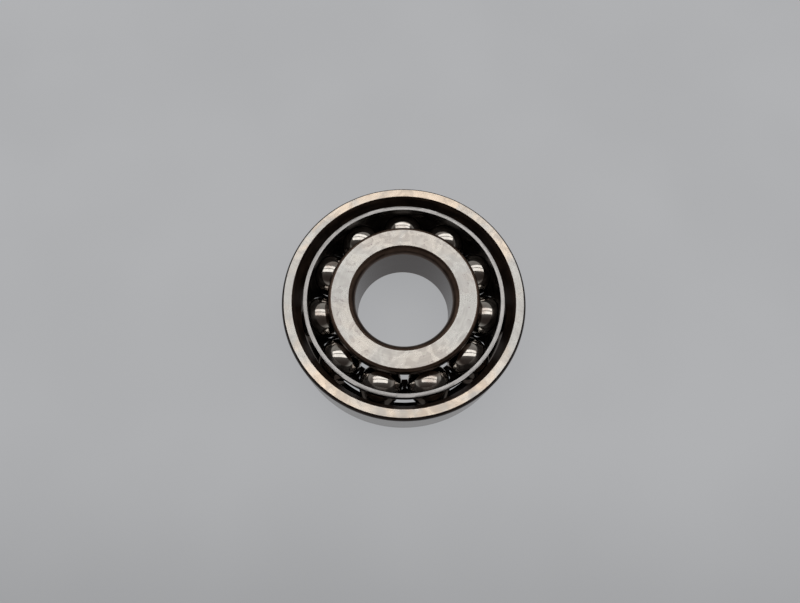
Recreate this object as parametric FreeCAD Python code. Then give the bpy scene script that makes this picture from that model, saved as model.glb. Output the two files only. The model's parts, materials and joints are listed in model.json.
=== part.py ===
import FreeCAD, Part
import math
import os

# Single-row angular-contact ball bearing: 25 mm bore, 62 mm outside diameter, 17 mm wide.
# The outer ring's shoulder is cut away on the open side, so the inner ring, the balls and the
# cage can be pressed in from there. One pressed steel cage spaces eleven balls.
#
# Frame: origin on the bearing's axis in the plane of the closed-side faces, +Z along the axis
# towards the open side, first ball on +X. Lengths in millimetres, angles in degrees.
# Sections are drawn as (radius, height) pairs and turned about the axis.

# Main dimensions
BORE_DIAMETER = 25.0
OUTSIDE_DIAMETER = 62.0
WIDTH = 17.0

# Balls and raceways
BALL_COUNT = 11
BALL_DIAMETER = 11.112
PITCH_DIAMETER = 43.5
CONTACT_ANGLE = 40.0
GROOVE_RADIUS = 5.78
RUNNING_GAP = 0.02

# Outer ring
OUTER_SHOULDER_RADIUS = 24.8
OUTER_RIDGE_RADIUS = 26.75
COUNTERBORE_MOUTH_RADIUS = 28.32
OUTER_CORNER = (0.7, 1.3)
OUTER_INSIDE_CORNER = (0.6, 0.8)

# Inner ring
INNER_SHOULDER_RADIUS = 19.4
INNER_RIDGE_RADIUS = 16.4
INNER_LOW_SIDE_RADIUS = 16.1
INNER_SHOULDER_CORNER = (0.93, 1.0)
INNER_LOW_SIDE_CORNER = (0.4, 0.6)
BORE_CORNER_OPEN_SIDE = (1.56, 2.4)
BORE_CORNER_CLOSED_SIDE = (1.56, 1.9)

# Cage: rim cylinder, conical web and foot cylinder in one bent sheet; the web cuts the ball centres
SHEET = 0.95
RIM_RADIUS = 25.025
RIM_TOP_BELOW_FACE = 0.3
RIM_BEND_HEIGHT = 13.0
FOOT_RADIUS = 19.4
FOOT_BEND_HEIGHT = 5.3
FOOT_BOTTOM_HEIGHT = 1.5
BEND_RADIUS = 1.2
POCKET_RADIUS = 5.72
POCKET_REACH = 5.0

# Worked out from the above
BALL_RADIUS = BALL_DIAMETER / 2
PITCH_RADIUS = PITCH_DIAMETER / 2
MID_HEIGHT = WIDTH / 2
OUTSIDE_RADIUS = OUTSIDE_DIAMETER / 2
BORE_RADIUS = BORE_DIAMETER / 2
GROOVE_SHIFT = GROOVE_RADIUS - BALL_RADIUS - RUNNING_GAP
CONTACT_DIRECTION = (math.cos(math.radians(CONTACT_ANGLE)), -math.sin(math.radians(CONTACT_ANGLE)))
OUTER_GROOVE_CENTRE = (PITCH_RADIUS - GROOVE_SHIFT * CONTACT_DIRECTION[0],
                       MID_HEIGHT - GROOVE_SHIFT * CONTACT_DIRECTION[1])
INNER_GROOVE_CENTRE = (PITCH_RADIUS + GROOVE_SHIFT * CONTACT_DIRECTION[0],
                       MID_HEIGHT + GROOVE_SHIFT * CONTACT_DIRECTION[1])
AXIS = FreeCAD.Vector(0, 0, 1)
ORIGIN = FreeCAD.Vector(0, 0, 0)


def in_section(point):
    """A (radius, height) pair as a point of the half plane that is turned about the axis."""
    return FreeCAD.Vector(point[0], 0, point[1])


def line(start, end):
    return Part.makeLine(in_section(start), in_section(end))


def arc(start, middle, end):
    return Part.Arc(in_section(start), in_section(middle), in_section(end)).toShape()


def turned_corner(cylinder_end, face_end):
    """Rounded ring corner, which leaves the cylinder tangentially and meets the face at an edge."""
    radial = face_end[0] - cylinder_end[0]
    axial = face_end[1] - cylinder_end[1]
    radius = (radial ** 2 + axial ** 2) / (2 * abs(radial))
    half_turn = math.asin(abs(axial) / radius) / 2
    middle = (cylinder_end[0] + math.copysign(radius * (1 - math.cos(half_turn)), radial),
              cylinder_end[1] + math.copysign(radius * math.sin(half_turn), axial))
    return arc(cylinder_end, middle, face_end)


def groove_point(centre, radius, side):
    """Where a raceway groove reaches a given radius, above (side 1) or below (side -1) its centre."""
    reach = math.sqrt(GROOVE_RADIUS ** 2 - (radius - centre[0]) ** 2)
    return (radius, centre[1] + side * reach)


def groove(centre, start, bottom_radius, end):
    """Raceway arc between two of its points, through the groove's bottom."""
    return arc(start, (bottom_radius, centre[1]), end)


def turn(edges):
    """Solid of revolution from the closed chain of edges."""
    return Part.Face(Part.Wire(edges)).revolve(ORIGIN, AXIS, 360)


def outer_ring():
    """High shoulder on the closed side, deep counterbore on the open side."""
    radial, axial = OUTER_CORNER
    inside_radial, inside_axial = OUTER_INSIDE_CORNER
    shoulder_foot = (OUTER_SHOULDER_RADIUS, inside_axial)
    closed_face_inside = (OUTER_SHOULDER_RADIUS + inside_radial, 0)
    closed_face_outside = (OUTSIDE_RADIUS - radial, 0)
    wall_bottom = (OUTSIDE_RADIUS, axial)
    wall_top = (OUTSIDE_RADIUS, WIDTH - axial)
    open_face_outside = (OUTSIDE_RADIUS - radial, WIDTH)
    mouth = (COUNTERBORE_MOUTH_RADIUS, WIDTH)
    ridge = groove_point(OUTER_GROOVE_CENTRE, OUTER_RIDGE_RADIUS, 1)
    shoulder_top = groove_point(OUTER_GROOVE_CENTRE, OUTER_SHOULDER_RADIUS, -1)
    groove_bottom = OUTER_GROOVE_CENTRE[0] + GROOVE_RADIUS
    return turn([
        turned_corner(shoulder_foot, closed_face_inside),
        line(closed_face_inside, closed_face_outside),
        turned_corner(wall_bottom, closed_face_outside),
        line(wall_bottom, wall_top),
        turned_corner(wall_top, open_face_outside),
        line(open_face_outside, mouth),
        line(mouth, ridge),
        groove(OUTER_GROOVE_CENTRE, ridge, groove_bottom, shoulder_top),
        line(shoulder_top, shoulder_foot),
    ])


def inner_ring():
    """High shoulder on the open side, low tapered side below the groove, plain bore."""
    open_radial, open_axial = BORE_CORNER_OPEN_SIDE
    closed_radial, closed_axial = BORE_CORNER_CLOSED_SIDE
    shoulder_radial, shoulder_axial = INNER_SHOULDER_CORNER
    low_radial, low_axial = INNER_LOW_SIDE_CORNER
    bore_bottom = (BORE_RADIUS, closed_axial)
    bore_top = (BORE_RADIUS, WIDTH - open_axial)
    open_face_inside = (BORE_RADIUS + open_radial, WIDTH)
    open_face_outside = (INNER_SHOULDER_RADIUS - shoulder_radial, WIDTH)
    shoulder_top = (INNER_SHOULDER_RADIUS, WIDTH - shoulder_axial)
    shoulder_bottom = groove_point(INNER_GROOVE_CENTRE, INNER_SHOULDER_RADIUS, 1)
    ridge = groove_point(INNER_GROOVE_CENTRE, INNER_RIDGE_RADIUS, -1)
    groove_bottom = INNER_GROOVE_CENTRE[0] - GROOVE_RADIUS
    low_side_foot = (INNER_LOW_SIDE_RADIUS, low_axial)
    closed_face_outside = (INNER_LOW_SIDE_RADIUS - low_radial, 0)
    closed_face_inside = (BORE_RADIUS + closed_radial, 0)
    return turn([
        line(bore_bottom, bore_top),
        turned_corner(bore_top, open_face_inside),
        line(open_face_inside, open_face_outside),
        turned_corner(shoulder_top, open_face_outside),
        line(shoulder_top, shoulder_bottom),
        groove(INNER_GROOVE_CENTRE, shoulder_bottom, groove_bottom, ridge),
        line(ridge, low_side_foot),
        turned_corner(low_side_foot, closed_face_outside),
        line(closed_face_outside, closed_face_inside),
        turned_corner(bore_bottom, closed_face_inside),
    ])


def unit(start, end):
    """Direction from one (radius, height) pair to another."""
    length = math.dist(start, end)
    return ((end[0] - start[0]) / length, (end[1] - start[1]) / length)


def beside(point, direction, offset):
    """The point moved sideways, to the left of the direction."""
    return (point[0] - offset * direction[1], point[1] + offset * direction[0])


def along(point, direction, distance):
    return (point[0] + distance * direction[0], point[1] + distance * direction[1])


def sheet_side(path, offset):
    """Edges of one side of a bent sheet, offset to the left of its centre line, with round bends."""
    directions = [unit(start, end) for start, end in zip(path, path[1:])]
    edges = []
    last = beside(path[0], directions[0], offset)
    for bend, before, after in zip(path[1:-1], directions, directions[1:]):
        turn_left = math.atan2(before[0] * after[1] - before[1] * after[0],
                               before[0] * after[0] + before[1] * after[1])
        mean = unit((0, 0), (before[0] + after[0], before[1] + after[1]))
        corner = beside(bend, mean, offset / math.cos(turn_left / 2))
        radius = BEND_RADIUS - offset * math.copysign(1, turn_left)
        setback = radius * math.tan(abs(turn_left) / 2)
        cut_in = math.copysign(radius / math.cos(turn_left / 2) - radius, turn_left)
        arc_start = along(corner, before, -setback)
        arc_end = along(corner, after, setback)
        edges.append(line(last, arc_start))
        edges.append(arc(arc_start, beside(corner, mean, cut_in), arc_end))
        last = arc_end
    edges.append(line(last, beside(path[-1], directions[-1], offset)))
    return edges


def cage():
    """One pressed ring of bent sheet with a round pocket pierced square to the web for each ball."""
    rim_top = (RIM_RADIUS, WIDTH - RIM_TOP_BELOW_FACE)
    foot_bottom = (FOOT_RADIUS, FOOT_BOTTOM_HEIGHT)
    path = [rim_top, (RIM_RADIUS, RIM_BEND_HEIGHT), (FOOT_RADIUS, FOOT_BEND_HEIGHT), foot_bottom]
    half = SHEET / 2
    left = sheet_side(path, half)
    right = sheet_side(path, -half)
    rim_edge = line(along(rim_top, (1, 0), -half), along(rim_top, (1, 0), half))
    foot_edge = line(along(foot_bottom, (1, 0), -half), along(foot_bottom, (1, 0), half))
    blank = turn(Part.__sortEdges__(left + [foot_edge] + right + [rim_edge]))
    return blank.cut([pocket_cutter(angle) for angle in ball_angles()])


def ball_angles():
    return [360.0 / BALL_COUNT * place for place in range(BALL_COUNT)]


def radial(angle):
    return FreeCAD.Vector(math.cos(math.radians(angle)), math.sin(math.radians(angle)), 0)


def pocket_cutter(angle):
    """Cylinder through a ball's place, square to the web, just long enough to leave the sheet."""
    web = unit((FOOT_RADIUS, FOOT_BEND_HEIGHT), (RIM_RADIUS, RIM_BEND_HEIGHT))
    outwards = radial(angle) * web[1] - AXIS * web[0]
    centre = radial(angle) * PITCH_RADIUS + AXIS * MID_HEIGHT
    start = centre - outwards * POCKET_REACH
    return Part.makeCylinder(POCKET_RADIUS, 2 * POCKET_REACH, start, outwards)


def ball(angle):
    centre = radial(angle) * PITCH_RADIUS + AXIS * MID_HEIGHT
    return Part.makeSphere(BALL_RADIUS, centre)


def main():
    os.makedirs("parts", exist_ok=True)
    parts = {"outer_ring": outer_ring(), "inner_ring": inner_ring(), "cage": cage()}
    for number, angle in enumerate(ball_angles(), start=1):
        parts["ball_%02d" % number] = ball(angle)
    for name, shape in parts.items():
        shape.exportStep("parts/%s.step" % name)


main()
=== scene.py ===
import json
import math

import bpy
from mathutils import Matrix, Vector


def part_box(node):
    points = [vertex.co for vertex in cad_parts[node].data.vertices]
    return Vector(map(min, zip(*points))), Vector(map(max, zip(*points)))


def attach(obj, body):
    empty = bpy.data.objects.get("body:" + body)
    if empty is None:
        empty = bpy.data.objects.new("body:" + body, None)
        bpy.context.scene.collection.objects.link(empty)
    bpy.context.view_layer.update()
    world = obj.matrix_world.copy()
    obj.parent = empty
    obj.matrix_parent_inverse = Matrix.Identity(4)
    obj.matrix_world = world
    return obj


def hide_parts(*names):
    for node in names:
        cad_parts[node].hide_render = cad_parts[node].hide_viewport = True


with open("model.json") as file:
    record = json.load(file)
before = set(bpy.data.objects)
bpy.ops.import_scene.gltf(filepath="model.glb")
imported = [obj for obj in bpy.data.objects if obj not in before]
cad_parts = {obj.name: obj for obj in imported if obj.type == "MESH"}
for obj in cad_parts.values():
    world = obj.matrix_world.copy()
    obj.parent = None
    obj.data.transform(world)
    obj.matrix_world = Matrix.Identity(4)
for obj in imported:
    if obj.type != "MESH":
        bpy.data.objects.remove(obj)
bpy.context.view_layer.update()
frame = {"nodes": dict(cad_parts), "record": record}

bl_info = {
    "name": "Angular-contact ball bearing",
    "version": (1, 0, 0),
    "blender": (4, 5, 0),
    "location": "3D View > Sidebar > Bearing",
    "description": "Builds the rings, cage and balls of a single-row ball bearing on its CAD frame",
    "category": "Object",
}

MM = 0.001
BALL_NODES = sorted(name for name in frame["nodes"] if name.startswith("ball_"))
SECTOR = 2 * math.pi / len(BALL_NODES)

# What the frame says about the main sizes, in metres
RING_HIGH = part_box("outer_ring")[1]
CAGE_LOW, CAGE_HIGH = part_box("cage")
BALL_LOW, BALL_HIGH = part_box(BALL_NODES[0])
BORE = next(mount for mount in frame["record"]["mounts"] if mount["name"] == "bore")


def linear(code):
    """An sRGB hex colour as linear red, green and blue."""
    parts = [int(code[i:i + 2], 16) / 255 for i in (1, 3, 5)]
    return tuple(v / 12.92 if v <= 0.04045 else ((v + 0.055) / 1.055) ** 2.4 for v in parts)


def length(name, description, millimetres):
    """A length property, given in millimetres and held in metres."""
    return bpy.props.FloatProperty(name=name, description=description, default=millimetres * MM,
                                   min=0.0, unit="LENGTH", precision=5)


def colour(name, description, code):
    return bpy.props.FloatVectorProperty(name=name, description=description, default=linear(code),
                                         min=0.0, max=1.0, subtype="COLOR")


def degrees(name, description, value):
    return bpy.props.FloatProperty(name=name, description=description,
                                   default=math.radians(value), subtype="ANGLE")


def number(name, description, value):
    return bpy.props.FloatProperty(name=name, description=description, default=value, min=0.0)


class BearingSizes(bpy.types.PropertyGroup):
    """Sizes of the rings, balls and cage."""
    outside_radius: length("Outside radius", "Ground outside wall of the outer ring", RING_HIGH.x / MM)
    width: length("Width", "Distance between the side faces", RING_HIGH.z / MM)
    bore_radius: length("Bore radius", "Ground bore of the inner ring", BORE["dims"]["r_mm"])
    pitch_radius: length("Pitch radius", "Axis to ball centre", (BALL_LOW.x + BALL_HIGH.x) / 2 / MM)
    ball_radius: length("Ball radius", "Radius of a ball", (BALL_HIGH.x - BALL_LOW.x) / 2 / MM)
    groove_radius: length("Groove radius", "Radius of both raceway grooves", 5.78)
    running_gap: length("Running gap", "Clearance between a ball and a groove", 0.02)
    contact_angle: degrees("Contact angle", "Tilt of the line through a ball's two contacts", 40.0)
    outer_shoulder: length("Outer shoulder radius", "High shoulder of the outer ring", 24.8)
    outer_ridge: length("Outer ridge radius", "Low ridge that keeps the balls in", 26.75)
    counterbore: length("Counterbore radius", "Mouth of the cut-away side", 28.32)
    inner_shoulder: length("Inner shoulder radius", "High shoulder of the inner ring", 19.4)
    inner_ridge: length("Inner ridge radius", "Low ridge under the balls", 16.4)
    inner_low_side: length("Inner low side radius", "Foot of the inner ring's taper", 16.1)
    edge_break: length("Edge break", "Small rounding where two machined surfaces meet", 0.07)
    sheet: length("Cage sheet", "Thickness of the cage's sheet steel", 0.95)
    rim_radius: length("Rim radius", "Middle of the sheet in the cage's rim", 25.025)
    rim_bend: length("Rim bend height", "Height where the rim turns into the web", 13.0)
    foot_radius: length("Foot radius", "Middle of the sheet in the cage's foot", 19.4)
    foot_bend: length("Foot bend height", "Height where the web turns into the foot", 5.3)
    bend_radius: length("Bend radius", "Middle of the sheet in the cage's two bends", 1.2)
    pocket_radius: length("Pocket radius", "Radius of the cage's pierced pockets", 5.72)


class BearingFinish(bpy.types.PropertyGroup):
    """Colours of the metal finishes."""
    ground: colour("Ground steel", "Flat-ground side faces", "#BFC0BF")
    # painted reflection: a warm, lighter steel colour that stands for the warm lights the side faces
    # mirror
    warm_reflection: colour("Warm ground steel", "Straw tint left by oil on the side faces", "#E6D6C4")
    stain: colour("Stain", "Dried rust-preventive oil and finger marks", "#8A8084")
    wall: colour("Wall steel", "Cylindrically ground wall of the outer ring", "#AEABA8")
    # painted shade: the bore takes the outer wall's ground finish in a darker colour, standing for the
    # shade inside the bore
    bore: colour("Bore steel", "Ground bore of the inner ring", "#6C6765")
    scale: colour("Hardening scale", "Turned surfaces left as hardened", "#6B5A50")
    dark_scale: colour("Dark scale", "Corners of the outer ring, black from hardening", "#332A26")
    raceway: colour("Raceway", "Honed grooves, dark with oil", "#6E6660")
    ball: colour("Ball steel", "Lapped balls", "#CFCDC9")
    ball_film: colour("Oil film", "Brown oil film on the balls", "#8A6A58")
    cage: colour("Cage steel", "Oiled cage sheet", "#45413F")
    cage_edge: colour("Cage edge", "Bare trimmed edge of the cage rim", "#B9B9BA")
    floor: colour("Floor", "Pale studio floor", "#5A5B5D")
    floor_glow: colour("Floor glow", "Light that the floor gives off by itself", "#A2A3A5")


class BearingStage(bpy.types.PropertyGroup):
    """Camera and studio lights."""
    turn: degrees("Turn", "Camera's and lights' turn about the bearing's axis", 5.1)
    elevation: degrees("Elevation", "Camera's angle above the floor", 71.71)
    roll: degrees("Roll", "Camera's roll about its line of sight", 2.53)
    aside: length("Aside", "Camera's distance to the left of the axis", 0.98)
    back: length("Back", "Camera's distance in front of the axis", 46.5)
    height: length("Height", "Camera's height above the floor", 153.4)
    lens: number("Lens", "Focal length on a 36 mm wide sensor, in millimetres", 25.65)
    strip_strength: number("Strip strength", "Radiance of the two overhead strip lights", 1.33)
    fill_strength: number("Fill strength", "Radiance of the overhead fill, unseen in metal", 0.1)


# ---------------------------------------------------------------- turned and pressed shapes

def arc(centre, radius, start, end, steps):
    """Points along a circle's arc in a section, from one angle to another."""
    angles = [start + (end - start) * step / steps for step in range(steps + 1)]
    return [(centre[0] + radius * math.cos(a), centre[1] + radius * math.sin(a)) for a in angles]


def turned_corner(cylinder_end, face_end, steps=10):
    """Rounded ring corner that leaves the cylinder tangentially, as points from there to the face."""
    radial, axial = face_end[0] - cylinder_end[0], face_end[1] - cylinder_end[1]
    radius = (radial ** 2 + axial ** 2) / (2 * abs(radial))
    centre = (cylinder_end[0] + math.copysign(radius, radial), cylinder_end[1])
    start = math.atan2(0.0, -radial)
    end = math.atan2(face_end[1] - centre[1], face_end[0] - centre[0])
    if end - start > math.pi:
        end -= 2 * math.pi
    if start - end > math.pi:
        end += 2 * math.pi
    return arc(centre, radius, start, end, steps)


def groove(centre, radius, from_radius, from_side, to_radius, to_side, steps=40):
    """Raceway arc between two radii; a side is 1 above the groove's centre and -1 below it."""
    angles = []
    for reach, side in ((from_radius, from_side), (to_radius, to_side)):
        across = (reach - centre[0]) / radius
        angles.append(side * math.acos(across))
    start, end = angles
    if centre[0] > from_radius and start > 0 > end:
        end += 2 * math.pi
    return arc(centre, radius, start, end, steps)


def soften(outline, width, steps=4):
    """Rounds the corners where one stretch of an outline meets the next.

    The outline is a list of (finish, points); the result is a closed list of (point, finish)."""
    result = []
    for index, (finish, points) in enumerate(outline):
        before = outline[index - 1][1]
        here, ahead, behind = Vector(points[0]), Vector(points[1]), Vector(before[-2])
        into, out = (here - behind).normalized(), (ahead - here).normalized()
        turn = into.angle_signed(out)
        setback = min(width * math.tan(abs(turn) / 2), 0.4 * (ahead - here).length,
                      0.4 * (here - behind).length)
        for step in range(steps + 1):
            t = step / steps
            a, b = here - into * setback, here + out * setback
            point = a * (1 - t) ** 2 + here * 2 * t * (1 - t) + b * t ** 2
            result.append((tuple(point), finish))
        result += [(point, finish) for point in points[1:-1]]
    return result


def lathe(name, outline, segments):
    """Turns a closed outline of (point, finish index) about the axis into a smooth mesh object."""
    count = len(outline)
    vertices = []
    for segment in range(segments):
        angle = 2 * math.pi * segment / segments
        c, s = math.cos(angle), math.sin(angle)
        vertices += [(point[0] * c, point[0] * s, point[1]) for point, finish in outline]
    faces, finishes = [], []
    for segment in range(segments):
        here, ahead = segment * count, (segment + 1) % segments * count
        for index, (point, finish) in enumerate(outline):
            following = (index + 1) % count
            faces.append((here + index, ahead + index, ahead + following, here + following))
            finishes.append(finish)
    return mesh_object(name, vertices, faces, finishes)


def mesh_object(name, vertices, faces, finishes=None):
    """A smooth-shaded mesh object with outward faces."""
    mesh = bpy.data.meshes.new(name)
    mesh.from_pydata(vertices, [], faces)
    if finishes:
        mesh.polygons.foreach_set("material_index", finishes)
    mesh.polygons.foreach_set("use_smooth", [True] * len(faces))
    mesh.validate()
    obj = bpy.data.objects.new(name, mesh)
    bpy.context.scene.collection.objects.link(obj)
    return obj


def finish_piece(obj, body, slot, materials, *nodes):
    """Gives a piece its materials and its body, and hides the CAD nodes that it stands for; its slot is
    not used.
    """
    for material in materials:
        obj.data.materials.append(material)
    shading = obj.modifiers.new("flat faces stay flat", "WEIGHTED_NORMAL")
    shading.keep_sharp = True
    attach(obj, body)
    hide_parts(*nodes)


def groove_centres(sizes):
    """Centres of the outer and the inner groove in the section."""
    shift = sizes.groove_radius - sizes.ball_radius - sizes.running_gap
    across, up = shift * math.cos(sizes.contact_angle), shift * math.sin(sizes.contact_angle)
    middle = sizes.width / 2
    return (sizes.pitch_radius - across, middle + up), (sizes.pitch_radius + across, middle - up)


def outer_outline(sizes, corner=(0.7 * MM, 1.3 * MM), inside_corner=(0.6 * MM, 0.8 * MM)):
    """Outer ring section: side faces, wall, corners, counterbore, groove and high shoulder."""
    face, wall, scale, raceway, counterbore = range(5)
    centre = groove_centres(sizes)[0]
    out, top = sizes.outside_radius, sizes.width
    race = groove(centre, sizes.groove_radius, sizes.outer_ridge, 1, sizes.outer_shoulder, -1)
    low_corner = turned_corner((out, corner[1]), (out - corner[0], 0.0))[::-1]
    high_corner = turned_corner((out, top - corner[1]), (out - corner[0], top))
    inside = turned_corner((sizes.outer_shoulder, inside_corner[1]),
                           (sizes.outer_shoulder + inside_corner[0], 0.0))
    return [
        (scale, inside),
        (face, [inside[-1], low_corner[0]]),
        (scale, low_corner),
        (wall, [low_corner[-1], high_corner[0]]),
        (scale, high_corner),
        (face, [high_corner[-1], (sizes.counterbore, top)]),
        (counterbore, [(sizes.counterbore, top), race[0]]),
        (raceway, race),
        (wall, [race[-1], inside[0]]),
    ]


def inner_outline(sizes, shoulder_corner=(0.93 * MM, 1.0 * MM), low_corner=(0.4 * MM, 0.6 * MM),
                  open_corner=(1.56 * MM, 2.4 * MM), closed_corner=(1.56 * MM, 1.9 * MM)):
    """Inner ring section: bore and its corners, side faces, high shoulder, groove and low side."""
    face, wall, scale, raceway = range(4)
    centre = groove_centres(sizes)[1]
    bore, top = sizes.bore_radius, sizes.width
    race = groove(centre, sizes.groove_radius, sizes.inner_shoulder, 1, sizes.inner_ridge, -1)
    bore_top = turned_corner((bore, top - open_corner[1]), (bore + open_corner[0], top))
    bore_foot = turned_corner((bore, closed_corner[1]), (bore + closed_corner[0], 0.0))[::-1]
    shoulder = turned_corner((sizes.inner_shoulder, top - shoulder_corner[1]),
                             (sizes.inner_shoulder - shoulder_corner[0], top))[::-1]
    foot = turned_corner((sizes.inner_low_side, low_corner[1]),
                         (sizes.inner_low_side - low_corner[0], 0.0))
    outline = [
        (wall, [bore_foot[-1], bore_top[0]]),
        (scale, bore_top),
        (face, [bore_top[-1], shoulder[0]]),
        (scale, shoulder),
        (scale, [shoulder[-1], race[0]]),
        (raceway, race),
        (scale, [race[-1], foot[0]]),
        (scale, foot),
        (face, [foot[-1], bore_foot[0]]),
        (scale, bore_foot),
    ]
    return [(finish, points[::-1]) for finish, points in outline[::-1]]


def sheet_side(sizes, offset, steps=6):
    """One side of the cage's sheet as (radius, height) points, from the rim's top down to the foot."""
    path = [Vector((sizes.rim_radius, CAGE_HIGH.z)), Vector((sizes.rim_radius, sizes.rim_bend)),
            Vector((sizes.foot_radius, sizes.foot_bend)), Vector((sizes.foot_radius, CAGE_LOW.z))]
    ways = [(end - start).normalized() for start, end in zip(path, path[1:])]
    sides = [Vector((-way.y, way.x)) for way in ways]
    points = [path[0] + sides[0] * offset]
    for bend, way, side, side_after in zip(path[1:-1], ways, sides, sides[1:]):
        turn = side.angle_signed(side_after)
        left = -math.copysign(1.0, turn)
        radius = sizes.bend_radius - left * offset
        mean = (side + side_after).normalized()
        centre = bend + mean * left * sizes.bend_radius / math.cos(turn / 2)
        for step in range(steps + 1):
            angle = -turn * step / steps
            direction = Matrix.Rotation(angle, 2) @ (side * -left)
            points.append(centre + direction * radius)
    points.append(path[-1] + sides[-1] * offset)
    return points


def radius_at(side, height):
    """Radius of a side of the sheet at a height."""
    for above, below in zip(side, side[1:]):
        if height >= below.y - 1e-9:
            share = (above.y - height) / max(above.y - below.y, 1e-12)
            return above.x + (below.x - above.x) * min(max(share, 0.0), 1.0)
    return side[-1].x


def pocket_point(sizes, side, turn, halvings=40):
    """(angle, height) where the pocket, pierced square to the web, meets one side of the sheet."""
    web = Vector((sizes.rim_radius - sizes.foot_radius, 0.0, sizes.rim_bend - sizes.foot_bend))
    web.normalize()
    outwards = Vector((web.z, 0.0, -web.x))
    start = Vector((sizes.pitch_radius, 0.0, sizes.width / 2))
    start += (Vector((0.0, 1.0, 0.0)) * math.cos(turn) + web * math.sin(turn)) * sizes.pocket_radius
    low, high = -sizes.pocket_radius, sizes.pocket_radius
    for _ in range(halvings):
        middle = (low + high) / 2
        point = start + outwards * middle
        if math.hypot(point.x, point.y) > radius_at(side, point.z):
            high = middle
        else:
            low = middle
    return math.atan2(point.y, point.x), point.z


def pocket_grid(sizes, side, around, rings):
    """Grid of (angle, height, radius) over one pocket's share of the sheet, from the pocket outwards."""
    middle, half = sizes.width / 2, SECTOR / 2
    grid = []
    for index in range(around):
        turn = 2 * math.pi * index / around
        across, up = math.cos(turn), math.sin(turn)
        reach = 1 / max(abs(across), abs(up))
        hole = pocket_point(sizes, side, turn)
        far_height = CAGE_HIGH.z - middle if up > 0 else middle - CAGE_LOW.z
        edge = (half * across * reach, middle + far_height * up * reach)
        line = []
        for ring in range(rings + 1):
            share = ring / rings
            angle = hole[0] + (edge[0] - hole[0]) * share
            at = hole[1] + (edge[1] - hole[1]) * share
            line.append((angle, at, radius_at(side, at)))
        grid.append(line)
    return grid


def cage_mesh(name, sizes, around=128, rings=10):
    """The pierced sheet: both sides of every pocket's share, joined at the pockets, rim and foot."""
    skins = [pocket_grid(sizes, sheet_side(sizes, offset), around, rings)
             for offset in (sizes.sheet / 2, -sizes.sheet / 2)]
    sheet_finish, edge_finish, pocket_finish = range(3)
    vertices, faces, finishes, places = [], [], [], {}

    def vertex(sector, skin, index, ring):
        angle, height, radius = skins[skin][index % around][ring]
        angle += sector * SECTOR
        point = (radius * math.cos(angle), radius * math.sin(angle), height)
        key = tuple(round(value / (0.001 * MM)) for value in point)
        if key not in places:
            places[key] = len(vertices)
            vertices.append(point)
        return places[key]

    for sector in range(len(BALL_NODES)):
        for index in range(around):
            for ring in range(rings):
                for skin in (0, 1):
                    corners = [vertex(sector, skin, index, ring), vertex(sector, skin, index, ring + 1),
                               vertex(sector, skin, index + 1, ring + 1),
                               vertex(sector, skin, index + 1, ring)]
                    faces.append(corners if skin == 0 else corners[::-1])
                    finishes.append(sheet_finish)
            faces.append([vertex(sector, 0, index, 0), vertex(sector, 0, index + 1, 0),
                          vertex(sector, 1, index + 1, 0), vertex(sector, 1, index, 0)])
            finishes.append(pocket_finish)
            start, end = skins[0][index][rings], skins[0][(index + 1) % around][rings]
            for limit, finish in ((CAGE_HIGH.z, edge_finish), (CAGE_LOW.z, sheet_finish)):
                if abs(start[1] - limit) < 1e-7 and abs(end[1] - limit) < 1e-7:
                    faces.append([vertex(sector, 0, index + 1, rings), vertex(sector, 0, index, rings),
                                  vertex(sector, 1, index, rings), vertex(sector, 1, index + 1, rings)])
                    finishes.append(finish)
    return mesh_object(name, vertices, faces, finishes)


def ball_mesh(name, centre, radius, cells=24):
    """A ball as a cube pushed out to a sphere, so that it has no poles, with near-equal cells."""
    vertices, faces, places = [], [], {}
    axes = [(Vector((1, 0, 0)), Vector((0, 1, 0)), Vector((0, 0, 1))),
            (Vector((0, 1, 0)), Vector((0, 0, 1)), Vector((1, 0, 0))),
            (Vector((0, 0, 1)), Vector((1, 0, 0)), Vector((0, 1, 0)))]

    def vertex(normal, u, v, i, j):
        point = normal + u * math.tan(math.pi / 4 * (2 * i / cells - 1)) \
            + v * math.tan(math.pi / 4 * (2 * j / cells - 1))
        point.normalize()
        key = tuple(round(value, 5) for value in point)
        if key not in places:
            places[key] = len(vertices)
            vertices.append(tuple(centre + point * radius))
        return places[key]

    for u, v, normal in axes:
        for sign in (1, -1):
            for i in range(cells):
                for j in range(cells):
                    corners = [vertex(normal * sign, u, v, i + di, j + dj)
                               for di, dj in ((0, 0), (1, 0), (1, 1), (0, 1))]
                    faces.append(corners if sign == 1 else corners[::-1])
    return mesh_object(name, vertices, faces)


# ---------------------------------------------------------------- finishes

# Settings of the nodes that every finish uses: a range eased onto another, and two colours combined
EASED = {"interpolation_type": "SMOOTHSTEP"}
MIXED = {"data_type": "RGBA"}
MULTIPLIED = {"data_type": "RGBA", "blend_type": "MULTIPLY"}


def add(tree, kind, settings=None, inputs=None):
    """Adds a node, sets its settings, and sets or links its inputs. A node given as an input stands
    for its first output."""
    node = tree.nodes.new(kind)
    for name, value in (settings or {}).items():
        setattr(node, name, value)
    for key, value in (inputs or {}).items():
        if isinstance(value, bpy.types.Node):
            value = value.outputs[0]
        if isinstance(value, bpy.types.NodeSocket):
            tree.links.new(value, node.inputs[key])
        else:
            node.inputs[key].default_value = value
    return node


def metal(name, roughness, anisotropy=0.0):
    """An empty metal material with its shader: returns the material, its tree and the shader node."""
    material = bpy.data.materials.new(name)
    material.use_nodes = True
    tree = material.node_tree
    tree.nodes.clear()
    shader = add(tree, "ShaderNodeBsdfPrincipled", None,
                 {"Metallic": 1.0, "Roughness": roughness, "Anisotropic": anisotropy,
                  "Anisotropic Rotation": 0.25})
    add(tree, "ShaderNodeOutputMaterial", None, {"Surface": shader})
    return material, tree, shader


def opaque(values):
    return (*values, 1.0)


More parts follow.
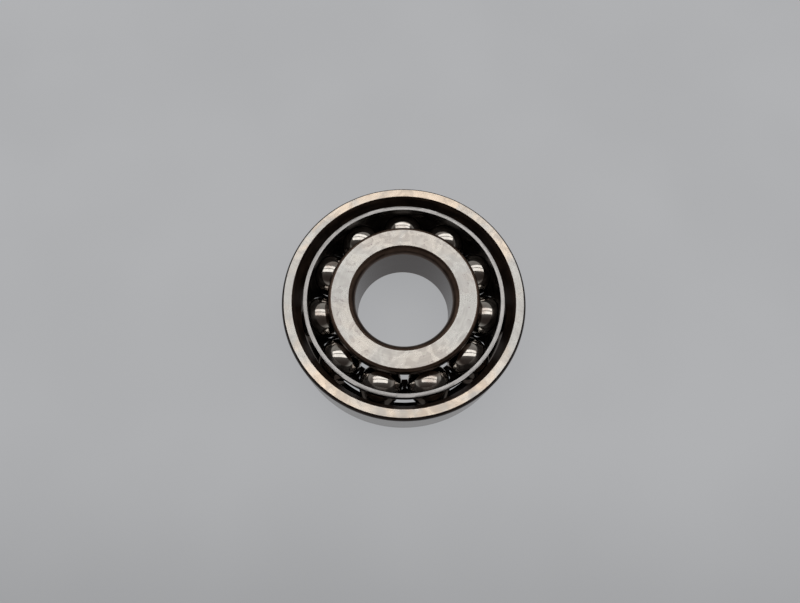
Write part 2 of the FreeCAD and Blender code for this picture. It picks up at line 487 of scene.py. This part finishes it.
def polar(tree):
    """Object coordinates, the direction away from the axis, the distance from it, and the height."""
    place = add(tree, "ShaderNodeTexCoord").outputs["Object"]
    split = add(tree, "ShaderNodeSeparateXYZ", None, {0: place})
    level = add(tree, "ShaderNodeCombineXYZ", None, {0: split.outputs[0], 1: split.outputs[1]})
    distance = add(tree, "ShaderNodeVectorMath", {"operation": "LENGTH"}, {0: level})
    way = add(tree, "ShaderNodeVectorMath", {"operation": "NORMALIZE"}, {0: level})
    way = add(tree, "ShaderNodeSeparateXYZ", None, {0: way})
    return place, way, distance.outputs["Value"], split.outputs[2]


def tool_marks(tree, across, spacing, run):
    """Streaks that run round the axis, as a 0 to 1 value: their spacing across and their run along.

    The run is the length of a streak at the typical radius of 20 mm."""
    typical_radius = 20 * MM
    place, way, distance, height = polar(tree)
    measure = distance if across == "radius" else height
    scaled = add(tree, "ShaderNodeMath", {"operation": "DIVIDE"}, {0: measure, 1: spacing})
    ways = [add(tree, "ShaderNodeMath", {"operation": "MULTIPLY"}, {0: output, 1: typical_radius / run})
            for output in (way.outputs[0], way.outputs[1])]
    vector = add(tree, "ShaderNodeCombineXYZ", None, {0: ways[0], 1: ways[1], 2: scaled})
    marks = add(tree, "ShaderNodeTexNoise", None, {"Vector": vector, "Scale": 1.0, "Detail": 2.0})
    return place, marks


def run_marks_round(tree, shader, marks=None, strength=0.0):
    """Stretches a finish's gloss along marks that run round the axis, and lets them catch the light."""
    along = add(tree, "ShaderNodeTangent", {"direction_type": "RADIAL", "axis": "Z"})
    tree.links.new(along.outputs[0], shader.inputs["Tangent"])
    if marks:
        relief = add(tree, "ShaderNodeBump", None,
                     {"Strength": strength, "Distance": 0.01 * MM, "Height": marks})
        tree.links.new(relief.outputs[0], shader.inputs["Normal"])


def ground_face(name, finish, warm_reflection_share, staining):
    """Surface-ground bearing steel: a bright satin face with fine marks round the axis, a painted warm
    reflection of the lights, stronger towards +Y and -Y, dull clouds, and the thin outlines of old drops
    and finger marks."""
    material, tree, shader = metal(name, roughness=0.28, anisotropy=0.25)
    # real grinding marks are about 0.03 mm apart; 0.25 mm is the finest that still shows
    place, marks = tool_marks(tree, "radius", spacing=0.25 * MM, run=12 * MM)
    clouds = add(tree, "ShaderNodeTexNoise", None,
                 {"Vector": place, "Scale": 1 / (7 * MM), "Detail": 3.0, "Distortion": 0.6})
    drops = add(tree, "ShaderNodeTexNoise", None,
                {"Vector": place, "Scale": 1 / (4 * MM), "Detail": 3.0, "Distortion": 1.6})
    specks = add(tree, "ShaderNodeTexNoise", None,
                 {"Vector": place, "Scale": 1 / (0.9 * MM), "Detail": 2.0, "Distortion": 0.0})
    ground, warm, stain = opaque(finish.ground), opaque(finish.warm_reflection), opaque(finish.stain)

    # painted reflection: a warm, lighter tint stands for the warm lights that the face mirrors, stronger
    # towards +Y and -Y and patchy
    facing = add(tree, "ShaderNodeMath", {"operation": "ABSOLUTE"}, {0: polar(tree)[1].outputs[1]})
    facing_and_clouds = add(tree, "ShaderNodeMath", {"operation": "MULTIPLY_ADD"}, {0: facing, 1: 0.45, 2: clouds})
    tint = add(tree, "ShaderNodeMapRange", EASED, {0: facing_and_clouds, 1: 0.6, 2: 1.05, 3: 0.0, 4: warm_reflection_share})
    tone = add(tree, "ShaderNodeMix", MIXED, {0: tint, 6: ground, 7: warm})
    cloudy = add(tree, "ShaderNodeMapRange", EASED,
                 {0: drops, 1: 0.42, 2: 0.62, 3: 0.0, 4: 0.22 * staining})
    tone = add(tree, "ShaderNodeMix", MIXED, {0: cloudy, 6: tone.outputs[2], 7: stain})

    # the edge of a dried drop is a thin line where the pattern crosses one value
    offset = add(tree, "ShaderNodeMath", {"operation": "SUBTRACT"}, {0: drops, 1: 0.56})
    offset = add(tree, "ShaderNodeMath", {"operation": "ABSOLUTE"}, {0: offset})
    line = add(tree, "ShaderNodeMapRange", EASED, {0: offset, 1: 0.0, 2: 0.012, 3: staining, 4: 0.0})
    patches = add(tree, "ShaderNodeMapRange", EASED, {0: clouds, 1: 0.46, 2: 0.58, 3: 0.0, 4: 1.0})
    line = add(tree, "ShaderNodeMath", {"operation": "MULTIPLY"}, {0: line, 1: patches})
    tone = add(tree, "ShaderNodeMix", MIXED, {0: line, 6: tone.outputs[2], 7: stain})
    pits = add(tree, "ShaderNodeMapRange", EASED, {0: specks, 1: 0.66, 2: 0.76, 3: 0.0, 4: staining})
    tone = add(tree, "ShaderNodeMix", MIXED, {0: pits, 6: tone.outputs[2], 7: stain})
    streak = add(tree, "ShaderNodeMapRange", EASED, {0: marks, 1: 0.3, 2: 0.7, 3: 0.94, 4: 1.04})
    tone = add(tree, "ShaderNodeMix", MULTIPLIED, {0: 1.0, 6: tone.outputs[2], 7: streak})
    tree.links.new(tone.outputs[2], shader.inputs["Base Color"])
    gloss = add(tree, "ShaderNodeMapRange", EASED, {0: drops, 1: 0.3, 2: 0.7, 3: 0.25, 4: 0.36})
    tree.links.new(gloss.outputs[0], shader.inputs["Roughness"])
    run_marks_round(tree, shader, marks, strength=0.1)
    return material


def ground_wall(name, steel):
    """Cylindrically ground bearing steel: bright, with fine streaks round the wall."""
    material, tree, shader = metal(name, roughness=0.26, anisotropy=0.4)
    # real grinding marks are about 0.03 mm apart; 0.25 mm is the finest that still shows
    marks = tool_marks(tree, "height", spacing=0.25 * MM, run=14 * MM)[1]
    streak = add(tree, "ShaderNodeMapRange", EASED, {0: marks, 1: 0.3, 2: 0.7, 3: 0.92, 4: 1.03})
    tone = add(tree, "ShaderNodeMix", MULTIPLIED, {0: 1.0, 6: opaque(steel), 7: streak})
    tree.links.new(tone.outputs[2], shader.inputs["Base Color"])
    run_marks_round(tree, shader, marks, strength=0.06)
    return material


def hardened_scale(name, steel, roughness=0.4):
    """Turned steel left as it came from hardening: a dark scale with a dull sheen and turning marks."""
    material, tree, shader = metal(name, roughness)
    # turning marks are about 0.15 mm apart; they are drawn at 0.3 mm, so that they show
    place, marks = tool_marks(tree, "radius", spacing=0.3 * MM, run=8 * MM)
    blotches = add(tree, "ShaderNodeTexNoise", None,
                   {"Vector": place, "Scale": 1 / (3 * MM), "Detail": 3.0, "Distortion": 0.0})
    streak = add(tree, "ShaderNodeMapRange", EASED, {0: marks, 1: 0.3, 2: 0.7, 3: 0.7, 4: 1.1})
    blotch = add(tree, "ShaderNodeMapRange", EASED, {0: blotches, 1: 0.3, 2: 0.7, 3: 0.75, 4: 1.1})
    shade = add(tree, "ShaderNodeMix", MULTIPLIED, {0: 1.0, 6: streak, 7: blotch})
    tone = add(tree, "ShaderNodeMix", MULTIPLIED, {0: 1.0, 6: opaque(steel), 7: shade.outputs[2]})
    tree.links.new(tone.outputs[2], shader.inputs["Base Color"])
    smoothest, roughest = roughness - 0.08, roughness + 0.08
    gloss = add(tree, "ShaderNodeMapRange", EASED, {0: marks, 1: 0.3, 2: 0.7, 3: smoothest, 4: roughest})
    tree.links.new(gloss.outputs[0], shader.inputs["Roughness"])
    return material


def honed_raceway(name, finish):
    """Honed groove under oil: dark, near-mirror steel with faint marks along the groove."""
    material, tree, shader = metal(name, roughness=0.12)
    # honing marks are about 0.01 mm apart; they are drawn at 0.3 mm, so that they show
    marks = tool_marks(tree, "height", spacing=0.3 * MM, run=12 * MM)[1]
    streak = add(tree, "ShaderNodeMapRange", EASED, {0: marks, 1: 0.3, 2: 0.7, 3: 0.92, 4: 1.04})
    tone = add(tree, "ShaderNodeMix", MULTIPLIED, {0: 1.0, 6: opaque(finish.raceway), 7: streak})
    tree.links.new(tone.outputs[2], shader.inputs["Base Color"])
    return material


def lapped_ball(name, finish):
    """Lapped chrome steel: a mirror, smeared here and there by a thin brown film of oil."""
    material, tree, shader = metal(name, roughness=0.06)
    place = add(tree, "ShaderNodeTexCoord").outputs["Object"]
    film = add(tree, "ShaderNodeTexNoise", None,
               {"Vector": place, "Scale": 1 / (4 * MM), "Detail": 3.0, "Distortion": 0.8})
    smears = add(tree, "ShaderNodeTexNoise", None,
                 {"Vector": place, "Scale": 1 / (1.2 * MM), "Detail": 3.0, "Distortion": 1.0})
    amount = add(tree, "ShaderNodeMapRange", EASED, {0: film, 1: 0.45, 2: 0.7, 3: 0.0, 4: 0.45})
    tone = add(tree, "ShaderNodeMix", MIXED,
               {0: amount, 6: opaque(finish.ball), 7: opaque(finish.ball_film)})
    dulled = add(tree, "ShaderNodeMapRange", EASED, {0: smears, 1: 0.35, 2: 0.7, 3: 1.0, 4: 0.82})
    tone = add(tree, "ShaderNodeMix", MULTIPLIED, {0: 1.0, 6: tone.outputs[2], 7: dulled})
    tree.links.new(tone.outputs[2], shader.inputs["Base Color"])
    gloss = add(tree, "ShaderNodeMapRange", EASED, {0: film, 1: 0.35, 2: 0.75, 3: 0.06, 4: 0.15})
    tree.links.new(gloss.outputs[0], shader.inputs["Roughness"])
    relief = add(tree, "ShaderNodeBump", None, {"Strength": 0.06, "Distance": 0.02 * MM, "Height": smears})
    tree.links.new(relief.outputs[0], shader.inputs["Normal"])
    return material


def oiled_sheet(name, finish):
    """Pressed sheet steel with a dark oil film: a soft gloss, drawn streaks and mottling."""
    material, tree, shader = metal(name, roughness=0.3)
    place, marks = tool_marks(tree, "height", spacing=0.5 * MM, run=5 * MM)
    blotches = add(tree, "ShaderNodeTexNoise", None,
                   {"Vector": place, "Scale": 1 / (2 * MM), "Detail": 3.0, "Distortion": 0.0})
    blotch = add(tree, "ShaderNodeMapRange", EASED, {0: blotches, 1: 0.3, 2: 0.7, 3: 0.65, 4: 1.15})
    tone = add(tree, "ShaderNodeMix", MULTIPLIED, {0: 1.0, 6: opaque(finish.cage), 7: blotch})
    tree.links.new(tone.outputs[2], shader.inputs["Base Color"])
    gloss = add(tree, "ShaderNodeMapRange", EASED, {0: marks, 1: 0.3, 2: 0.7, 3: 0.25, 4: 0.42})
    tree.links.new(gloss.outputs[0], shader.inputs["Roughness"])
    return material


def pierced_edge(name, finish):
    """Cut wall of a cage pocket: torn and rough, with painted shade that darkens it to a quarter to a half
    of the sheet's colour, so it catches little light.
    """
    material, tree, shader = metal(name, roughness=0.6)
    place = add(tree, "ShaderNodeTexCoord").outputs["Object"]
    tears = add(tree, "ShaderNodeTexNoise", None,
                {"Vector": place, "Scale": 1 / (0.5 * MM), "Detail": 2.0, "Distortion": 0.0})
    # painted shade for the narrow pocket around the ball, broken up by the random tears
    tears_and_shade = add(tree, "ShaderNodeMapRange", EASED, {0: tears, 1: 0.3, 2: 0.7, 3: 0.25, 4: 0.5})
    tone = add(tree, "ShaderNodeMix", MULTIPLIED, {0: 1.0, 6: opaque(finish.cage), 7: tears_and_shade})
    tree.links.new(tone.outputs[2], shader.inputs["Base Color"])
    return material


def trimmed_edge(name, finish):
    """Turned-off edge of the cage's sheet: bare bright steel with coarse marks round the axis."""
    material, tree, shader = metal(name, roughness=0.36, anisotropy=0.3)
    place, marks = tool_marks(tree, "radius", spacing=0.22 * MM, run=12 * MM)
    blotches = add(tree, "ShaderNodeTexNoise", None,
                   {"Vector": place, "Scale": 1 / (3 * MM), "Detail": 2.0, "Distortion": 0.0})
    streak = add(tree, "ShaderNodeMapRange", EASED, {0: marks, 1: 0.3, 2: 0.7, 3: 0.8, 4: 1.05})
    blotch = add(tree, "ShaderNodeMapRange", EASED, {0: blotches, 1: 0.3, 2: 0.7, 3: 0.9, 4: 1.06})
    shade = add(tree, "ShaderNodeMix", MULTIPLIED, {0: 1.0, 6: streak, 7: blotch})
    tone = add(tree, "ShaderNodeMix", MULTIPLIED,
               {0: 1.0, 6: opaque(finish.cage_edge), 7: shade.outputs[2]})
    tree.links.new(tone.outputs[2], shader.inputs["Base Color"])
    run_marks_round(tree, shader)
    return material


def ring_materials(part, finish, warm_reflection_share, staining, wall, scale):
    """A ring's four finishes, in the order that the outlines number them."""
    return [ground_face(part + " surface-ground face", finish, warm_reflection_share, staining),
            ground_wall(part + " cylindrically ground wall", wall),
            hardened_scale(part + " turned and hardened corner", scale),
            honed_raceway(part + " honed raceway", finish)]


def pale_floor(name, finish, turn):
    """Matt pale board that glows like a light table, so shadows on it are faint; painted shade
    darkens both its colour and its glow towards the front edge."""
    material = bpy.data.materials.new(name)
    material.use_nodes = True
    tree = material.node_tree
    tree.nodes.clear()
    place = add(tree, "ShaderNodeTexCoord").outputs["Object"]
    turned = add(tree, "ShaderNodeVectorRotate", {"rotation_type": "Z_AXIS"},
                 {"Vector": place, "Angle": -turn})
    parts = add(tree, "ShaderNodeSeparateXYZ", None, {0: turned})
    # painted shade: colour and glow fall to 0.72 of full towards the front edge
    painted_falloff = add(tree, "ShaderNodeMapRange", EASED,
               {0: parts.outputs[1], 1: -110 * MM, 2: -30 * MM, 3: 0.72, 4: 1.0})
    clouds = add(tree, "ShaderNodeTexNoise", None,
                 {"Vector": place, "Scale": 1 / (60 * MM), "Detail": 2.0, "Distortion": 0.0})
    mottle = add(tree, "ShaderNodeMapRange", EASED, {0: clouds, 1: 0.3, 2: 0.7, 3: 0.98, 4: 1.02})
    shade = add(tree, "ShaderNodeMix", MULTIPLIED, {0: 1.0, 6: painted_falloff, 7: mottle}).outputs[2]
    board = add(tree, "ShaderNodeMix", MULTIPLIED, {0: 1.0, 6: opaque(finish.floor), 7: shade})
    glow = add(tree, "ShaderNodeMix", MULTIPLIED, {0: 1.0, 6: opaque(finish.floor_glow), 7: shade})
    shader = add(tree, "ShaderNodeBsdfPrincipled", None,
                 {"Base Color": board.outputs[2], "Roughness": 0.8,
                  "Emission Color": glow.outputs[2], "Emission Strength": 1.0})
    add(tree, "ShaderNodeOutputMaterial", None, {"Surface": shader})
    return material


# ---------------------------------------------------------------- operators

class BEARING_OT_outer_ring(bpy.types.Operator):
    """Turn the outer ring, counterbored on the open side"""
    bl_idname = "bearing.outer_ring"
    bl_label = "Outer ring"

    def execute(self, context):
        sizes, finish = context.scene.bearing_sizes, context.scene.bearing_finish
        ring = lathe("outer_ring_turned", soften(outer_outline(sizes), sizes.edge_break), 360)
        # painted reflection: the outer ring's faces get 0.9 of the painted warm tint, the inner ring's
        # 0.25
        steel = ring_materials("Outer ring", finish, 0.9, 0.3, finish.wall, finish.dark_scale)
        steel.append(hardened_scale("Outer ring turned counterbore", finish.scale, roughness=0.6))
        finish_piece(ring, "outer_ring", "outer_ring_steel", steel, "outer_ring")
        return {"FINISHED"}


class BEARING_OT_inner_ring(bpy.types.Operator):
    """Turn the inner ring, with its high shoulder on the open side"""
    bl_idname = "bearing.inner_ring"
    bl_label = "Inner ring"

    def execute(self, context):
        sizes, finish = context.scene.bearing_sizes, context.scene.bearing_finish
        ring = lathe("inner_ring_turned", soften(inner_outline(sizes), sizes.edge_break), 320)
        # painted shade: the inner ring's bore wall gets the darker bore steel colour
        steel = ring_materials("Inner ring", finish, 0.25, 0.7, finish.bore, finish.scale)
        finish_piece(ring, "inner_ring", "inner_ring_steel", steel, "inner_ring")
        return {"FINISHED"}


class BEARING_OT_cage(bpy.types.Operator):
    """Press the cage from sheet and pierce a pocket for each ball"""
    bl_idname = "bearing.cage"
    bl_label = "Cage"
    sharp_angle = 50
    edge_width = 0.08 * MM

    def execute(self, context):
        sizes, finish = context.scene.bearing_sizes, context.scene.bearing_finish
        cage = cage_mesh("cage_pressing", sizes)
        edges = cage.modifiers.new("pressed edges", "BEVEL")
        edges.limit_method = "ANGLE"
        edges.angle_limit = math.radians(self.sharp_angle)
        edges.width = self.edge_width
        edges.segments = 2
        finish_piece(cage, "cage", "cage_steel",
                     [oiled_sheet("Oiled pressed sheet", finish),
                      trimmed_edge("Trimmed sheet edge", finish),
                      pierced_edge("Pierced pocket wall", finish)], "cage")
        return {"FINISHED"}


class BEARING_OT_balls(bpy.types.Operator):
    """Put a lapped ball in each pocket"""
    bl_idname = "bearing.balls"
    bl_label = "Balls"

    def execute(self, context):
        sizes, finish = context.scene.bearing_sizes, context.scene.bearing_finish
        steel = lapped_ball("Lapped chrome steel", finish)
        for node in BALL_NODES:
            low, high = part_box(node)
            ball = ball_mesh(node + "_lapped", (low + high) / 2, sizes.ball_radius)
            finish_piece(ball, node, "ball_steel", [steel], node)
        return {"FINISHED"}


def area_light(name, tilt, azimuth, distance, size, radiance, tint, mirrored=True):
    """Rectangular light that faces the bearing, tilted from overhead towards an azimuth."""
    light = bpy.data.lights.new(name, "AREA")
    light.shape = "RECTANGLE"
    light.size, light.size_y = size
    light.energy = radiance * math.pi * size[0] * size[1]
    light.color = linear(tint)
    lamp = bpy.data.objects.new(name, light)
    turn = Matrix.Rotation(azimuth, 4, "Z") @ Matrix.Rotation(-tilt, 4, "X")
    lamp.matrix_world = turn @ Matrix.Translation((0, 0, distance))
    lamp.visible_camera = False
    lamp.visible_glossy = mirrored
    bpy.context.scene.collection.objects.link(lamp)


class BEARING_OT_stage(bpy.types.Operator):
    """Set the floor, the studio lights and the camera"""
    bl_idname = "bearing.stage"
    bl_label = "Stage"
    floor_sides = 96
    # (radius, height) in metres: a disc, and a bowl that rises from its edge
    flat = [(0.4, 0.0)]
    bowl = [(0.4, 0.0), (1.0, 0.0), (1.5, 0.1), (1.85, 0.4), (2.0, 0.9), (2.0, 2.5)]
    # name, tilt from overhead and width of each strip light, as angles in degrees at the bearing
    strips = [("near_strip", 8, 16), ("far_strip", 27, 14)]
    strip_half_length = 38
    strip_distance = 1.2
    fill_distance = 1.0
    fill_size = (1.6, 1.6)

    def floor(self, finish, turn):
        """A flat disc that metal mirrors, and around it a bowl that metal does not mirror."""
        material = pale_floor("Matt pale board", finish, turn)
        sides = self.floor_sides
        angles = [2 * math.pi * side / sides for side in range(sides)]
        for name, rings, centre in (("floor", self.flat, True), ("surround", self.bowl, False)):
            vertices = [(radius * math.cos(angle), radius * math.sin(angle), height)
                        for radius, height in rings for angle in angles]
            faces = [(k * sides + i, k * sides + (i + 1) % sides, (k + 1) * sides + (i + 1) % sides,
                      (k + 1) * sides + i) for k in range(len(rings) - 1) for i in range(sides)]
            if centre:
                faces.append(tuple(range(sides)))
            obj = mesh_object(name, vertices, faces)
            obj.data.materials.append(material)
            obj.visible_glossy = centre

    def lights(self, stage):
        """Two strips and a fill overhead, in a grey studio that is dark high up in front."""
        for name, tilt, width in self.strips:
            size = [2 * self.strip_distance * math.tan(math.radians(half))
                    for half in (self.strip_half_length, width / 2)]
            area_light(name, math.radians(tilt), stage.turn, self.strip_distance, size,
                       stage.strip_strength, "#FFFBF6")
        area_light("overhead_fill", 0.0, stage.turn, self.fill_distance, self.fill_size,
                   stage.fill_strength, "#F4F8FF", mirrored=False)
        world = bpy.data.worlds.new("Studio")
        bpy.context.scene.world = world
        world.use_nodes = True
        tree = world.node_tree
        tree.nodes.clear()
        way = add(tree, "ShaderNodeTexCoord").outputs["Generated"]
        turned = add(tree, "ShaderNodeVectorRotate", {"rotation_type": "Z_AXIS"},
                     {"Vector": way, "Angle": -stage.turn})
        parts = add(tree, "ShaderNodeSeparateXYZ", None, {0: turned})
        behind = add(tree, "ShaderNodeMapRange", EASED,
                     {0: parts.outputs[1], 1: -0.5, 2: 0.8, 3: 0.0, 4: 1.0})
        front, back, low = (opaque(linear(code)) for code in ("#3A3431", "#8E8A86", "#9A9793"))
        walls = add(tree, "ShaderNodeMix", MIXED, {0: behind, 6: front, 7: back})
        horizon = add(tree, "ShaderNodeMapRange", EASED,
                      {0: parts.outputs[2], 1: 0.3, 2: 0.65, 3: 1.0, 4: 0.0})
        tone = add(tree, "ShaderNodeMix", MIXED, {0: horizon, 6: walls.outputs[2], 7: low})
        sky = add(tree, "ShaderNodeBackground", None, {"Color": tone.outputs[2], "Strength": 1.0})
        add(tree, "ShaderNodeOutputWorld", None, {"Surface": sky})

    def camera(self, stage):
        """A wide lens close above the bearing, looking down at it from in front."""
        data = bpy.data.cameras.new("camera")
        data.lens = stage.lens
        data.sensor_width = 36
        data.clip_start, data.clip_end = 0.01, 20
        camera = bpy.data.objects.new("camera", data)
        place = Matrix.Translation((-stage.aside, -stage.back, stage.height))
        look = Matrix.Rotation(math.pi / 2 - stage.elevation, 4, "X") @ Matrix.Rotation(stage.roll, 4, "Z")
        camera.matrix_world = Matrix.Rotation(stage.turn, 4, "Z") @ place @ look
        bpy.context.scene.collection.objects.link(camera)
        bpy.context.scene.camera = camera

    def execute(self, context):
        stage, finish = context.scene.bearing_stage, context.scene.bearing_finish
        self.floor(finish, stage.turn)
        self.lights(stage)
        self.camera(stage)
        context.scene.view_settings.view_transform = "Standard"
        return {"FINISHED"}


class BEARING_PT_panel(bpy.types.Panel):
    """Buttons and settings of the bearing"""
    bl_idname = "BEARING_PT_panel"
    bl_label = "Ball bearing"
    bl_space_type = "VIEW_3D"
    bl_region_type = "UI"
    bl_category = "Bearing"

    def draw(self, context):
        for operator in OPERATORS:
            self.layout.operator(operator.bl_idname)
        for name in GROUPS:
            box = self.layout.box()
            group = getattr(context.scene, name)
            for key in group.__annotations__:
                box.prop(group, key)


OPERATORS = [BEARING_OT_outer_ring, BEARING_OT_inner_ring, BEARING_OT_cage, BEARING_OT_balls,
             BEARING_OT_stage]
GROUPS = {"bearing_sizes": BearingSizes, "bearing_finish": BearingFinish, "bearing_stage": BearingStage}


def register():
    for group in GROUPS.values():
        bpy.utils.register_class(group)
    for cls in OPERATORS + [BEARING_PT_panel]:
        bpy.utils.register_class(cls)
    for name, group in GROUPS.items():
        setattr(bpy.types.Scene, name, bpy.props.PointerProperty(type=group))


def unregister():
    for name in GROUPS:
        delattr(bpy.types.Scene, name)
    for cls in [BEARING_PT_panel] + OPERATORS[::-1]:
        bpy.utils.unregister_class(cls)
    for group in GROUPS.values():
        bpy.utils.unregister_class(group)


def main():
    register()
    bpy.ops.bearing.outer_ring()
    bpy.ops.bearing.inner_ring()
    bpy.ops.bearing.cage()
    bpy.ops.bearing.balls()
    bpy.ops.bearing.stage()


if __name__ == "__main__":
    main()
